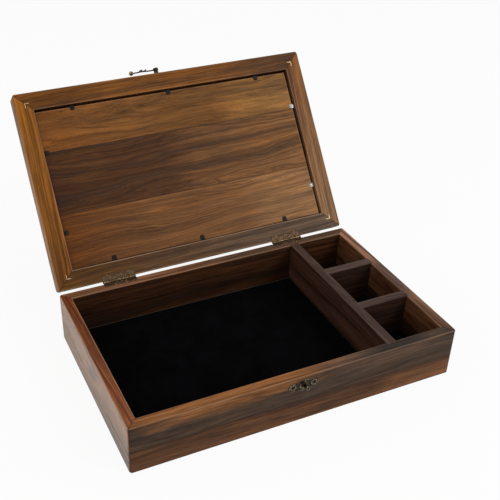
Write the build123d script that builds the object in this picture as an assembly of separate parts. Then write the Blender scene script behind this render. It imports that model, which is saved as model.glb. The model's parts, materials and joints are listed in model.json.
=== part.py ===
"""Dice storage chest: a lift-lid wooden box with one lined tray and a column of three open cells.

Millimetres, +Z up, +X to the right and +Y to the back, seen from the side with the catch.
The origin is on the underside, in the middle of the base. The lid stands open, as it is used.
"""

import math
import os

from build123d import *

# ---- base ------------------------------------------------------------------------------------
BASE_W = 330.0  # left to right, outside
BASE_D = 205.0  # front to back, outside
BASE_H = 52.0  # height of the rim
WALL = 10.5  # wall thickness
CORNER_R = 3.0  # upright corners, base and lid
ARRIS = 0.6  # sanded edges
SEAM_H = 24.0  # glue line between a wall's two strips
BOARD_T = 8.0  # bottom board
BOARD_REBATE = 5.0  # how far the board reaches into the walls
BOARD_SLACK = 0.3  # gap round the board in its rebate
LINING_T = 3.0  # padded velvet lining
LINING_SLACK = 0.4  # gap round each lining
LINING_EDGE_R = 1.0  # rounded top edge of a lining

# ---- dividers --------------------------------------------------------------------------------
CELL_W = 51.5  # clear width of the cells
CELL_COUNT = 3
DIVIDER_T = 9.7  # long divider between tray and cells
CROSS_T = 9.5  # short dividers between cells
DADO = 2.0  # depth of the housings that hold a divider's ends

# ---- lid -------------------------------------------------------------------------------------
LID_SHY = 1.0  # the lid stands back from each end of the base
LID_T = 16.4
RAIL = 18.5  # width of the frame seen from below
LIP = 5.0  # lip that keeps the panel in, on the lid's outer side
LIP_T = 5.0
PANEL_RECESS = 3.0  # from the lid's underside to the panel
PANEL_GAPS = (0.3, 2.6)  # left and back, right and front: the panel sits in one corner of its frame
STAVE_SEAMS = (27.5, -38.5)  # glue lines of the panel, toward the hinges from the lid's middle
OPEN_ANGLE = 127.0  # where the hinges stop
REST_GAP = 0.1  # between the closed lid's front edge and the rim

# ---- panel tabs and corner nails ----------------------------------------------------------------
TAB_W = 4.5
TAB_T = 0.5
TAB_OUT = 6.0  # over the panel
TAB_IN = 7.0  # driven into the rail
TAB_TIP = 0.9  # cut corners of a tab's end
TAB_FRONT_X = (-105.5, 1.3, 106.6)
TAB_BACK_X = (-99.5, -0.1, 99.7)
TAB_LEFT_Y = (-38.5, 45.5)
TAB_RIGHT_Y = (-41.9, 50.3)
VNAIL_IN = 10.6  # from the lid's outer edges to the point of the V
VNAIL_ARM = 4.8
VNAIL_T = 0.6
VNAIL_DEPTH = 7.0

# ---- hinges ----------------------------------------------------------------------------------
HINGE_INSETS = (64.5, 71.0)  # left and right hinge, from the base's ends to the hinge's middle
HINGE_L = 35.0
LEAF_GAP = 0.14  # between the two closed leaves
LEAF_REACH = 6.0  # over the wood
SCALLOP_R = 1.9  # bites in the free edge of a leaf
LEAF_CORNER_R = 2.4
PIN_R = 0.7
PIN_PROUD = 0.4  # each end of the pin
KNUCKLE_WALL = 0.7
KNUCKLES = 5
KNUCKLE_GAP = 0.25
KNUCKLE_CLEAR = 0.1  # between a knuckle and the wooden edges
RUN_FIT = 0.05  # radial, lid knuckles on the pin
SNUG_FIT = 0.02  # radial, base knuckles on the pin

# ---- sheet metal and screws --------------------------------------------------------------------
SHEET_T = 0.7  # hinge leaves and plates; a screw's head is sunk through it
SCREW_L = 8.0
HEAD_R = 2.0
SHANK_R = 1.0  # under the head
SCREW_SIDES = 12  # so small a screw is drawn with flats
SCREW_SEAT = 0.05  # clearance of a screw or peg in its hole
HINGE_SCREW_X = 11.0  # either side of the hinge's middle
HINGE_SCREW_IN = 3.3  # from the wood's back edge

# ---- catch and swing hook ----------------------------------------------------------------------
PLATE_WAIST = (11.5, 6.2)  # half width and half height of a plate's middle
PLATE_LOBE_R = 4.7
PLATE_SCREW_X = 10.6
CATCH_X = 0.0
CATCH_DROP = 0.9  # from the stud down to the middle of the catch plate
HOOK_RISE = 7.4  # rivet above the lid's underside
LATCH_RISE = 8.0  # middle of the latch plate above the lid's underside
HOOK_REACH = 16.2  # down from the rivet to the stud
HOOK_OFFSET = 4.6  # sideways from the rivet to the stud
HOOK_STANDOFF = 4.5  # from the wood to the back of the hook
HOOK_T = 1.4
HOOK_GAP = 0.12  # between hook and rivet, along the rivet
HOOK_EYE_R = 3.2  # round the rivet
ARM_W = 2.4
ARM_BOW = 0.5  # the arms' curve
TAIL_W = 1.9
TAIL_X = 0.25  # sideways from the rivet to the ball
TAIL_L = 28.2  # from the rivet down to the ball
BALL_R = 2.4
BALL_FACET = 50.0  # degrees from the ball's poles to its middle edge
STUD_R = 1.4
STUD_HEAD = (2.9, 1.4)  # radius and height
STUD_GAP = 0.5  # between stud and hook
RIVET_NECK_R = 1.1
RIVET_SHOULDER_R = 2.4
RIVET_HEAD = (2.9, 1.5)  # radius and height

# ---- worked out ------------------------------------------------------------------------------
KNUCKLE_R = PIN_R + RUN_FIT + KNUCKLE_WALL
PIN_RISE = SHEET_T + LEAF_GAP / 2
PIN_BACK = math.sqrt((KNUCKLE_R + KNUCKLE_CLEAR) ** 2 - PIN_RISE**2)
PIN_Y = BASE_D / 2 + PIN_BACK
PIN_Z = BASE_H + PIN_RISE
PIN_AXIS = Axis((0, PIN_Y, PIN_Z), (1, 0, 0))
LID_Z = BASE_H + 2 * PIN_RISE  # lid's underside while it is level over the base
LID_W = BASE_W - 2 * LID_SHY
LID_D = BASE_D
LID_BACK = BASE_D / 2
LID_FRONT = LID_BACK - LID_D
LID_MID = (LID_BACK + LID_FRONT) / 2
SETTLE = math.degrees(math.atan((2 * PIN_RISE - REST_GAP) / (LID_D + PIN_BACK)))  # past level
DIVIDER_X = BASE_W / 2 - WALL - CELL_W - DIVIDER_T / 2
INNER_D = BASE_D - 2 * WALL
CELL_D = (INNER_D - (CELL_COUNT - 1) * CROSS_T) / CELL_COUNT
HINGE_XS = (HINGE_INSETS[0] - BASE_W / 2, BASE_W / 2 - HINGE_INSETS[1])
PANEL_T = LID_T - LIP_T - PANEL_RECESS
PANEL_Z = LID_Z + PANEL_RECESS
HOOK_X = CATCH_X - HOOK_OFFSET
HOOK_Z = LID_Z + HOOK_RISE
HOOK_TOP = HOOK_STANDOFF + HOOK_T + HOOK_GAP


def box(x, y, z):
    """A box from three (low, high) pairs."""
    size = [high - low for low, high in (x, y, z)]
    middle = [(high + low) / 2 for low, high in (x, y, z)]
    return Pos(*middle) * Box(*size)


def turned(outline):
    """A solid of revolution about Z, from (radius, height) points."""
    return revolve(Plane.XZ * make_face(Polyline(*outline, close=True)), Axis.Z)


def swung(y, z, degrees):
    """Where a point of the level lid lies once the lid has turned about the hinge pins."""
    arm = complex(y - PIN_Y, z - PIN_Z) * complex(
        math.cos(math.radians(degrees)), math.sin(math.radians(degrees))
    )
    return PIN_Y + arm.real, PIN_Z + arm.imag


STUD_Z = swung(LID_FRONT, HOOK_Z, SETTLE)[1] - HOOK_REACH  # with the lid's front on the rim
CATCH_Z = STUD_Z - CATCH_DROP


# ---- screws and where they go --------------------------------------------------------------------
def screw(spare=0.0):
    """Flat-head wood screw along Z, its head at z = 0; spare turns it into its own hole."""
    slope = math.degrees(math.atan2((HEAD_R - SHANK_R) * math.cos(math.pi / SCREW_SIDES), SHEET_T))
    head = extrude(RegularPolygon(HEAD_R + spare, SCREW_SIDES), SHEET_T, taper=slope)
    shank = extrude(RegularPolygon(SHANK_R + spare, SCREW_SIDES), SCREW_L + spare)
    return Rot(180, 0, 0) * (head + shank)


def seats_on(axis_dir, points):
    """Places screws at points, with their heads facing axis_dir."""
    return [Plane(origin=point, x_dir=(1, 0, 0), z_dir=axis_dir).location for point in points]


def screws(places):
    return [place * screw() for place in places]


def drill(shape, places):
    for place in places:
        shape -= place * screw(SCREW_SEAT)
    return shape


def hinge_screw_places(hinge_x, z, facing):
    """Two screws of one leaf; z is the leaf's showing face."""
    y = BASE_D / 2 - HINGE_SCREW_IN
    return seats_on((0, 0, facing), [(hinge_x + side * HINGE_SCREW_X, y, z) for side in (-1, 1)])


def front_point(x, z, out=0.0):
    """A point on the chest's front, a little out from the wood."""
    return (x, -BASE_D / 2 - out, z)


def front_plane(x, z, out=0.0):
    """Plane of the chest's front with X to the right and Y up; its normal points to the user."""
    return Plane(origin=front_point(x, z, out), x_dir=(1, 0, 0), z_dir=(0, -1, 0))


BASE_LEAF_SCREWS = {x: hinge_screw_places(x, BASE_H + SHEET_T, 1) for x in HINGE_XS}
LID_LEAF_SCREWS = {x: hinge_screw_places(x, LID_Z - SHEET_T, -1) for x in HINGE_XS}
CATCH_SCREWS = [
    front_plane(CATCH_X + side * PLATE_SCREW_X, CATCH_Z, SHEET_T).location for side in (-1, 1)
]
LATCH_SCREWS = [
    front_plane(HOOK_X + side * PLATE_SCREW_X, LID_Z + LATCH_RISE, SHEET_T).location
    for side in (-1, 1)
]


# ---- catch stud, rivet and plates ----------------------------------------------------------------
def domed(outline, neck_top, head):
    """Turned peg along Z: its outline up to the neck's top, closed by a domed head."""
    head_r, head_h = head
    dome = [(1.0, 0.0), (0.82, 0.62), (0.36, 1.0), (0.0, 1.0)]
    return turned(outline + [(head_r * across, neck_top + head_h * up) for across, up in dome])


def catch_stud():
    """Knob of the catch, riveted flush into its plate."""
    neck_top = HOOK_TOP + STUD_GAP / 2
    return domed([(0, 0), (STUD_R, 0), (STUD_R, neck_top)], neck_top, STUD_HEAD)


def latch_rivet():
    """Shouldered rivet that carries the hook clear of the lid's edge."""
    shoulder_top = HOOK_STANDOFF - HOOK_GAP
    shoulder = [(0, 0), (RIVET_SHOULDER_R, 0), (RIVET_SHOULDER_R, shoulder_top)]
    neck = [(RIVET_NECK_R, shoulder_top), (RIVET_NECK_R, HOOK_TOP)]
    return domed(shoulder + neck, HOOK_TOP, RIVET_HEAD)


STUD_PLACE = front_plane(CATCH_X, STUD_Z).location
RIVET_PLACE = front_plane(HOOK_X, HOOK_Z).location


def stamped_plate(middle, peg_place, peg_r, screw_places):
    """Waisted plate with a lobe for each screw, pressed from sheet, and a hole for its peg."""
    outline = Ellipse(*PLATE_WAIST)
    for side in (-1, 1):
        outline += Pos(side * PLATE_SCREW_X, 0) * Circle(PLATE_LOBE_R)
    plate = middle * extrude(outline, SHEET_T)
    return drill(plate, screw_places) - peg_place * Cylinder(peg_r + SCREW_SEAT, SHEET_T * 3)


# ---- base ------------------------------------------------------------------------------------
def wedge(width, depth, thick, side, z0, z1, mid_y=0.0):
    """Mitred quarter of a rectangular frame: the space that one of its four members fills."""
    far = thick + 2.0
    out = 2.0
    x, y = width / 2, depth / 2
    corners = {
        "front": [(-x - out, -y - out), (x + out, -y - out), (x - far, far - y), (far - x, far - y)],
        "right": [(x + out, -y - out), (x + out, y + out), (x - far, y - far), (x - far, far - y)],
        "back": [(x + out, y + out), (-x - out, y + out), (far - x, y - far), (x - far, y - far)],
        "left": [(-x - out, y + out), (-x - out, -y - out), (far - x, far - y), (far - x, y - far)],
    }[side]
    face = make_face(Polyline(*corners, close=True))
    return Pos(0, mid_y, z0) * extrude(face, z1 - z0)


def rounded_block(width, depth, height, z, mid_y=0.0):
    """Block with rounded upright corners and sanded top and bottom edges."""
    block = Pos(0, mid_y, z + height / 2) * Box(width, depth, height)
    block = fillet(block.edges().filter_by(Axis.Z), CORNER_R)
    ends = block.faces().filter_by(Axis.Z)
    return chamfer(ends.edges(), ARRIS)


def divider_slots():
    """Housings for the dividers: their ends, from the bottom board up."""
    slots = [long_divider_block()]
    slots += [cross_divider_block(index) for index in range(CELL_COUNT - 1)]
    return slots


def long_divider_block():
    half = INNER_D / 2 + DADO
    span = (DIVIDER_X - DIVIDER_T / 2, DIVIDER_X + DIVIDER_T / 2)
    return box(span, (-half, half), (BOARD_T, BASE_H))


def cross_divider_block(index):
    """Short divider; index 0 is the rear one."""
    y = INNER_D / 2 - CELL_D * (index + 1) - CROSS_T * (index + 0.5)
    x0 = DIVIDER_X + DIVIDER_T / 2 - DADO
    x1 = BASE_W / 2 - WALL + DADO
    return box((x0, x1), (y - CROSS_T / 2, y + CROSS_T / 2), (BOARD_T, BASE_H))


def carcass():
    """The four walls in one, with every rebate, housing and hole."""
    inner_w = BASE_W - 2 * WALL
    walls = rounded_block(BASE_W, BASE_D, BASE_H, 0)
    opening = Pos(0, 0, BASE_H / 2) * Box(inner_w, INNER_D, BASE_H)
    walls -= opening
    inner_rim = walls.faces().sort_by(Axis.Z)[-1].inner_wires()[0].edges()
    walls = chamfer(inner_rim, ARRIS)
    rebate = Pos(0, 0, BOARD_T / 2) * Box(
        inner_w + 2 * BOARD_REBATE, INNER_D + 2 * BOARD_REBATE, BOARD_T
    )
    walls -= rebate
    for slot in divider_slots():
        walls -= slot
    for places in BASE_LEAF_SCREWS.values():
        walls = drill(walls, places)
    return drill(walls, CATCH_SCREWS)


def bottom_board():
    spare = 2 * (BOARD_REBATE - BOARD_SLACK)
    size = (BASE_W - 2 * WALL + spare, INNER_D + spare, BOARD_T)
    return Pos(0, 0, BOARD_T / 2) * Box(*size)


def lining(x0, x1, y0, y1):
    """Padded velvet floor of one compartment."""
    s = LINING_SLACK
    pad = box((x0 + s, x1 - s), (y0 + s, y1 - s), (BOARD_T, BOARD_T + LINING_T))
    return fillet(pad.faces().sort_by(Axis.Z)[-1].edges(), LINING_EDGE_R)


def cell_lining(index):
    """Lining of one cell; index 0 is the rear one."""
    y1 = INNER_D / 2 - index * (CELL_D + CROSS_T)
    return lining(DIVIDER_X + DIVIDER_T / 2, BASE_W / 2 - WALL, y1 - CELL_D, y1)


def long_divider():
    """Long divider, housed for the short dividers that meet it."""
    divider = long_divider_block()
    for index in range(CELL_COUNT - 1):
        divider -= cross_divider_block(index)
    return divider


# ---- hinges: built with the pin's axis on X ------------------------------------------------------
def knuckle_spans(first):
    """(low, high) along the pin of every second knuckle."""
    pitch = HINGE_L / KNUCKLES
    starts = [-HINGE_L / 2 + pitch * i for i in range(first, KNUCKLES, 2)]
    return [(start + KNUCKLE_GAP / 2, start + pitch - KNUCKLE_GAP / 2) for start in starts]


def hinge_leaf(own, other, fit):
    """Scalloped leaf reaching to -Y, under the pin, with its rolled knuckles."""
    free_y = -(PIN_BACK + LEAF_REACH)
    outline = Rectangle(HINGE_L, -free_y, align=(Align.CENTER, Align.MAX))
    outline = fillet(outline.vertices().sort_by(Axis.Y)[:2], LEAF_CORNER_R)
    for side in (-1, 1):
        outline -= Pos(side * HINGE_L / 6, free_y) * Circle(SCALLOP_R)
    leaf = Pos(0, 0, -PIN_RISE) * extrude(outline, SHEET_T)
    room = KNUCKLE_R + KNUCKLE_CLEAR * 2
    for low, high in knuckle_spans(other):
        gap = KNUCKLE_GAP
        leaf -= box((low - gap, high + gap), (-room, room), (-room, room))
    for low, high in knuckle_spans(own):
        leaf += Pos((low + high) / 2, 0, 0) * Rot(0, 90, 0) * Cylinder(KNUCKLE_R, high - low)
    return leaf - Rot(0, 90, 0) * Cylinder(PIN_R + fit, HINGE_L + 2)


def base_leaf(x):
    leaf = Pos(x, PIN_Y, PIN_Z) * hinge_leaf(0, 1, SNUG_FIT)
    return drill(leaf, BASE_LEAF_SCREWS[x])


def lid_leaf(x):
    leaf = Pos(x, PIN_Y, PIN_Z) * mirror(hinge_leaf(1, 0, RUN_FIT), Plane.XY)
    return drill(leaf, LID_LEAF_SCREWS[x])


def hinge_pin(x):
    return Pos(x, PIN_Y, PIN_Z) * Rot(0, 90, 0) * Cylinder(PIN_R, HINGE_L + 2 * PIN_PROUD)


# ---- lid, built level over the base ----------------------------------------------------------------
def panel_edges():
    """(left, right, front, back) edges of the loose panel."""
    tight, wide = PANEL_GAPS
    half = LID_W / 2 - RAIL
    return -half + tight, half - wide, LID_FRONT + RAIL + wide, LID_BACK - RAIL - tight


def tab(x, y, toward):
    """One bend-over tab at the rail's inner edge, pointing toward the panel's middle."""
    low, high = -TAB_IN, TAB_OUT
    strip = box((low, high), (-TAB_W / 2, TAB_W / 2), (PANEL_RECESS - TAB_T, PANEL_RECESS))
    tip = strip.edges().filter_by(Axis.Z).sort_by(Axis.X)[-2:]
    strip = chamfer(tip, TAB_TIP)
    return Pos(x, y, LID_Z) * Rot(0, 0, toward) * strip


def panel_tabs():
    inner_x = LID_W / 2 - RAIL
    front, back = LID_FRONT + RAIL, LID_BACK - RAIL
    tabs = [tab(x, front, 90) for x in TAB_FRONT_X]
    tabs += [tab(x, back, -90) for x in TAB_BACK_X]
    tabs += [tab(-inner_x, LID_MID + y, 0) for y in TAB_LEFT_Y]
    tabs += [tab(inner_x, LID_MID + y, 180) for y in TAB_RIGHT_Y]
    return tabs


def v_nails():
    """One V-shaped nail across each mitre, its point to the lid's corner."""
    nails = []
    for sx in (-1, 1):
        for sy in (-1, 1):
            x = sx * (LID_W / 2 - VNAIL_IN)
            y = LID_MID + sy * (LID_D / 2 - VNAIL_IN)
            depth = (LID_Z, LID_Z + VNAIL_DEPTH)
            along_x = box(sorted((x, x - sx * VNAIL_ARM)), sorted((y, y - sy * VNAIL_T)), depth)
            along_y = box(sorted((x, x - sx * VNAIL_T)), sorted((y, y - sy * VNAIL_ARM)), depth)
            nails.append(along_x + along_y)
    return nails


def lid_frame():
    """The four rails in one, rebated from below for the panel."""
    frame = rounded_block(LID_W, LID_D, LID_T, LID_Z, LID_MID)
    top = LID_Z + LID_T
    window = Pos(0, LID_MID, LID_Z + LID_T / 2)
    frame -= window * Box(LID_W - 2 * (RAIL + LIP), LID_D - 2 * (RAIL + LIP), LID_T)
    bed = Pos(0, LID_MID, (LID_Z + top - LIP_T) / 2)
    frame -= bed * Box(LID_W - 2 * RAIL, LID_D - 2 * RAIL, LID_T - LIP_T)
    for face in (frame.faces().sort_by(Axis.Z)[0], frame.faces().sort_by(Axis.Z)[-1]):
        frame = chamfer(face.inner_wires()[0].edges(), ARRIS)
    for piece in panel_tabs() + v_nails():
        frame -= piece
    for places in LID_LEAF_SCREWS.values():
        frame = drill(frame, places)
    return drill(frame, LATCH_SCREWS)


def panel_stave(index):
    """One of the panel's glued staves; index 0 lies at the hinges."""
    left, right, front, back = panel_edges()
    edges = [back, *(LID_MID + seam for seam in STAVE_SEAMS), front]
    y = (edges[index + 1], edges[index])
    return box((left, right), y, (PANEL_Z, PANEL_Z + PANEL_T))


# ---- swing hook ------------------------------------------------------------------------------
def swing_hook():
    """Cast hook hanging straight down from its rivet, with the crescent that takes the stud."""
    seat = Pos(HOOK_OFFSET, -HOOK_REACH)
    entry = math.degrees(math.atan2(HOOK_OFFSET, HOOK_REACH))  # way in, square to the swing
    inner_r = STUD_R + STUD_GAP
    outer_r = inner_r + ARM_W
    waist = (HOOK_OFFSET - inner_r - ARM_W / 2, -HOOK_REACH)  # the crescent's outer side
    end = (TAIL_X, -TAIL_L)
    arm = ThreePointArc((0, 0), (-ARM_BOW, -HOOK_REACH / 2), waist)
    tail = ThreePointArc(waist, (TAIL_X - ARM_BOW, (waist[1] + end[1]) / 2), end)
    outline = Circle(HOOK_EYE_R) + trace(arm, ARM_W) + trace(tail, TAIL_W) + seat * Circle(outer_r)
    mouth = Rectangle(outer_r * 2, inner_r * 2, align=(Align.MIN, Align.CENTER))
    outline -= seat * Rot(0, 0, entry) * (Circle(inner_r) + mouth)
    outline -= Circle(RIVET_NECK_R + RUN_FIT)
    flat = BALL_R * math.sin(math.radians(BALL_FACET))
    round_to = BALL_R * math.cos(math.radians(BALL_FACET))
    profile = [(0, -BALL_R), (flat, -round_to), (BALL_R, 0), (flat, round_to), (0, BALL_R)]
    ball = Pos(TAIL_X, -TAIL_L, HOOK_T / 2) * Rot(90, 0, 0) * turned(profile)
    return front_plane(HOOK_X, HOOK_Z, HOOK_STANDOFF).location * (extrude(outline, HOOK_T) + ball)


def at_rest(shape):
    """Turns a piece of the level lid up to where the lid stands open."""
    return shape.rotate(PIN_AXIS, -OPEN_ANGLE)


def hook_at_rest(shape):
    """Turns the hook from hanging down to lying along the lid's edge, pointing left."""
    swing = Axis(front_point(HOOK_X, HOOK_Z), (0, -1, 0))
    return at_rest(shape.rotate(swing, -90))


# ---- nodes -----------------------------------------------------------------------------------
SIDES = ("front", "back", "left", "right")
nodes = {}

walls = carcass()
for side in SIDES:
    nodes[f"{side}_wall_lower"] = walls & wedge(BASE_W, BASE_D, WALL, side, 0, SEAM_H)
    nodes[f"{side}_wall_upper"] = walls & wedge(BASE_W, BASE_D, WALL, side, SEAM_H, BASE_H)
nodes["bottom_board"] = bottom_board()
nodes["long_divider"] = long_divider()
for index in range(CELL_COUNT - 1):
    nodes[f"cross_divider_{index + 1}"] = cross_divider_block(index)
nodes["tray_lining"] = lining(
    WALL - BASE_W / 2, DIVIDER_X - DIVIDER_T / 2, -INNER_D / 2, INNER_D / 2
)
for index in range(CELL_COUNT):
    nodes[f"cell_lining_{index + 1}"] = cell_lining(index)
nodes["catch_plate"] = stamped_plate(
    front_plane(CATCH_X, CATCH_Z).location, STUD_PLACE, STUD_R, CATCH_SCREWS
)
nodes["catch_stud"] = STUD_PLACE * catch_stud()
nodes["catch_screws"] = Compound(screws(CATCH_SCREWS))
for hand, x in zip(("left", "right"), HINGE_XS):
    nodes[f"hinge_base_leaf_{hand}"] = base_leaf(x)
    nodes[f"hinge_pin_{hand}"] = hinge_pin(x)
nodes["hinge_base_screws"] = Compound(
    [s for places in BASE_LEAF_SCREWS.values() for s in screws(places)]
)

frame = lid_frame()
lid = {}
for side in SIDES:
    space = wedge(LID_W, LID_D, RAIL + LIP, side, LID_Z, LID_Z + LID_T, LID_MID)
    lid[f"lid_{side}_rail"] = frame & space
for index in range(len(STAVE_SEAMS) + 1):
    lid[f"lid_panel_stave_{index + 1}"] = panel_stave(index)
lid["panel_tabs"] = Compound(panel_tabs())
lid["corner_v_nails"] = Compound(v_nails())
for hand, x in zip(("left", "right"), HINGE_XS):
    lid[f"hinge_lid_leaf_{hand}"] = lid_leaf(x)
lid["hinge_lid_screws"] = Compound(
    [s for places in LID_LEAF_SCREWS.values() for s in screws(places)]
)
lid["latch_plate"] = stamped_plate(
    front_plane(HOOK_X, LID_Z + LATCH_RISE).location, RIVET_PLACE, RIVET_SHOULDER_R, LATCH_SCREWS
)
lid["latch_screws"] = Compound(screws(LATCH_SCREWS))
lid["latch_rivet"] = RIVET_PLACE * latch_rivet()
nodes.update({name: at_rest(shape) for name, shape in lid.items()})
nodes["swing_hook"] = hook_at_rest(swing_hook())

os.makedirs("parts", exist_ok=True)
for name, shape in nodes.items():
    export_step(shape, f"parts/{name}.step")

print(f"lid hinge axis at y {PIN_Y:.3f}, z {PIN_Z:.3f}; closes through {OPEN_ANGLE + SETTLE:.3f} degrees")
pivot_y, pivot_z = swung(LID_FRONT, HOOK_Z, -OPEN_ANGLE)
print(f"hook pivot at rest {HOOK_X:.3f}, {pivot_y:.3f}, {pivot_z:.3f}; stud at z {STUD_Z:.3f}")
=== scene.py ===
# %% [markdown]
# # Dice storage chest
# A shallow wooden chest stands open: a box with one velvet-lined tray and three small cells, and a
# framed lid on two little hinges. The solid pieces and the joints come from the frame, and nothing
# of it is moved or resized here. These cells dress it: wood, velvet and bronze as node materials,
# and finer pieces where the real ones have more shape than their solids.

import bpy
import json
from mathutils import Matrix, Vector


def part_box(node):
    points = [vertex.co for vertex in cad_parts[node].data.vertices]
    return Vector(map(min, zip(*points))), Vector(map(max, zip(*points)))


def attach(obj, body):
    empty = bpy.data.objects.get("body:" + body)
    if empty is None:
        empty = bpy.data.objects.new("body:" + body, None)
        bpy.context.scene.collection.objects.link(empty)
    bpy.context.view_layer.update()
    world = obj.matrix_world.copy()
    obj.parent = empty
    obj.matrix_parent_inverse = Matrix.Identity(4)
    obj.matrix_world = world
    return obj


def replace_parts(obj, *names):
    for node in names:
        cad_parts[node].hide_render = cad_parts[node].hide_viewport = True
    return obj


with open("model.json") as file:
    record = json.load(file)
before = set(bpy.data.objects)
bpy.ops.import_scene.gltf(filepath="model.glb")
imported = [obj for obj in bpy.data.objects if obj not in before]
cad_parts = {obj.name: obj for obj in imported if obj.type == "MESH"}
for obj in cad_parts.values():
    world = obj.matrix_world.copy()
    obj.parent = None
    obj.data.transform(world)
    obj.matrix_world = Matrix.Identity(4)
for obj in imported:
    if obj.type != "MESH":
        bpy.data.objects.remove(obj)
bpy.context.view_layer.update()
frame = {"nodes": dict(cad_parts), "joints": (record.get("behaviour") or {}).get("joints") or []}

# %% [markdown]
# ## Units and the lid's own frame
# Blender works in metres, and a box maker in millimetres, so every size below is written in
# millimetres and passes through `MM`. The lid stands open at rest. It is easier to think of it lying
# level over the box, so `LID_OPEN` turns a level lid up to where it stands, about the hinge pins.

# %% Units and the lid's frame
import json
import math
import random
from functools import reduce

import bmesh
import bpy
from mathutils import Matrix, Vector

MM = 0.001
LINING_PLAY = 0.4  # between a lining and the wood round it
PANEL_INSET = 21.1  # from the lid's front edge to the panel's
OPEN_ANGLE = math.radians(127.0)
joints = {joint["name"]: joint for joint in frame["joints"]}
HINGE = Vector(joints["lid_hinge"]["pos_m"])
LID_OPEN = (
    Matrix.Translation(HINGE) @ Matrix.Rotation(-OPEN_ANGLE, 4, "X") @ Matrix.Translation(-HINGE)
)
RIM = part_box("front_wall_upper")[1].z / MM
BASE_W, BASE_D = (2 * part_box("right_wall_upper")[1].x / MM, 2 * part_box("back_wall_upper")[1].y / MM)
WALL = BASE_D / 2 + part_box("tray_lining")[0].y / MM - LINING_PLAY
SEAM_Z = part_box("front_wall_lower")[1].z / MM
LID_Z = RIM + 2 * (HINGE.z / MM - RIM)  # the pins run midway between the box and the level lid
LID_W = 2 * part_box("lid_right_rail")[1].x / MM
PANEL_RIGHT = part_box("lid_panel_stave_1")[1].x / MM
PANEL_FRONT = -BASE_D / 2 + PANEL_INSET
print(f"base {BASE_W:.1f} x {BASE_D:.1f} x {RIM:.1f} mm, walls {WALL:.1f}, level lid at {LID_Z:.2f}")


def unit(name, build=None):
    """A mesh object at the origin, empty or with what a bmesh built."""
    piece = bpy.data.objects.new(name, bpy.data.meshes.new(name))
    bpy.context.scene.collection.objects.link(piece)
    if build is not None:
        build.to_mesh(piece.data)
        build.free()
    return piece


# %% [markdown]
# ## Camera
# The photographer stood a little to the left of the chest and looked down on it. The camera's place
# was found once from the straight edges of the box, so here it is only three lines: where it stands,
# which way it looks and how long its lens is. The small shift slides the picture in the frame
# without turning the camera, as a view camera's rising front does.

# %% Camera
CAMERA_AT = Vector((-312.05, -584.10, 547.03)) * MM
AZIMUTH, ELEVATION, ROLL = (math.radians(angle) for angle in (-23.74, 33.11, 0.19))
LENS = 60.84
SHIFT = (0.0987, 0.0134)

camera = bpy.data.objects.new("camera", bpy.data.cameras.new("camera"))
bpy.context.scene.collection.objects.link(camera)
bpy.context.scene.camera = camera
camera.data.sensor_width = 36.0
camera.data.lens = LENS
camera.data.shift_x, camera.data.shift_y = SHIFT
camera.data.clip_start, camera.data.clip_end = 0.01, 20.0
turned = Matrix.Rotation(AZIMUTH, 4, "Z") @ Matrix.Rotation(math.pi / 2 - ELEVATION, 4, "X")
camera.matrix_world = Matrix.Translation(CAMERA_AT) @ turned @ Matrix.Rotation(ROLL, 4, "Z")
print("camera looks", [round(x, 3) for x in -turned.col[2].to_3d()])

# %% [markdown]
# ## Materials as expressions
# A node material is arithmetic on pictures: noise times a mask plus a tone. Wiring it by hand takes
# a page of code, so a small class lets Python's own operators add the Math nodes. `Graph.node` makes
# every other node: its type, its settings, and what goes into its sockets.


# %% Shader maths
def operator(operation, turned=False):
    """A method that adds a Math node; turned is for a reflected form, as in 1 - mask."""

    def method(self, other=0.0):
        first, second = (other, self) if turned else (self, other)
        return self.graph.node("ShaderNodeMath", {"operation": operation}, {0: first, 1: second})

    return method


class Value:
    """One output of a node; its operators add Math nodes to its graph."""

    def __init__(self, graph, node, socket):
        self.graph, self.maker, self.socket = graph, node, socket

    __add__, __radd__ = operator("ADD"), operator("ADD", turned=True)
    __sub__, __rsub__ = operator("SUBTRACT"), operator("SUBTRACT", turned=True)
    __mul__, __rmul__ = operator("MULTIPLY"), operator("MULTIPLY", turned=True)
    __truediv__, __pow__, __abs__ = operator("DIVIDE"), operator("POWER"), operator("ABSOLUTE")
    most, least = operator("MAXIMUM"), operator("MINIMUM")
    above, below = operator("GREATER_THAN"), operator("LESS_THAN")

    def rise(self, low, high):
        """0 below low, 1 above high and a smooth step between; low above high turns it round."""
        inputs = {"Value": self, "From Min": low, "From Max": high}
        return self.graph.node("ShaderNodeMapRange", {"interpolation_type": "SMOOTHSTEP"}, inputs)

    def out(self, name):
        """Another output of the same node."""
        return Value(self.graph, self.maker, self.graph.find(self.maker.outputs, name))


print("values add their own Math nodes")


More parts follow.
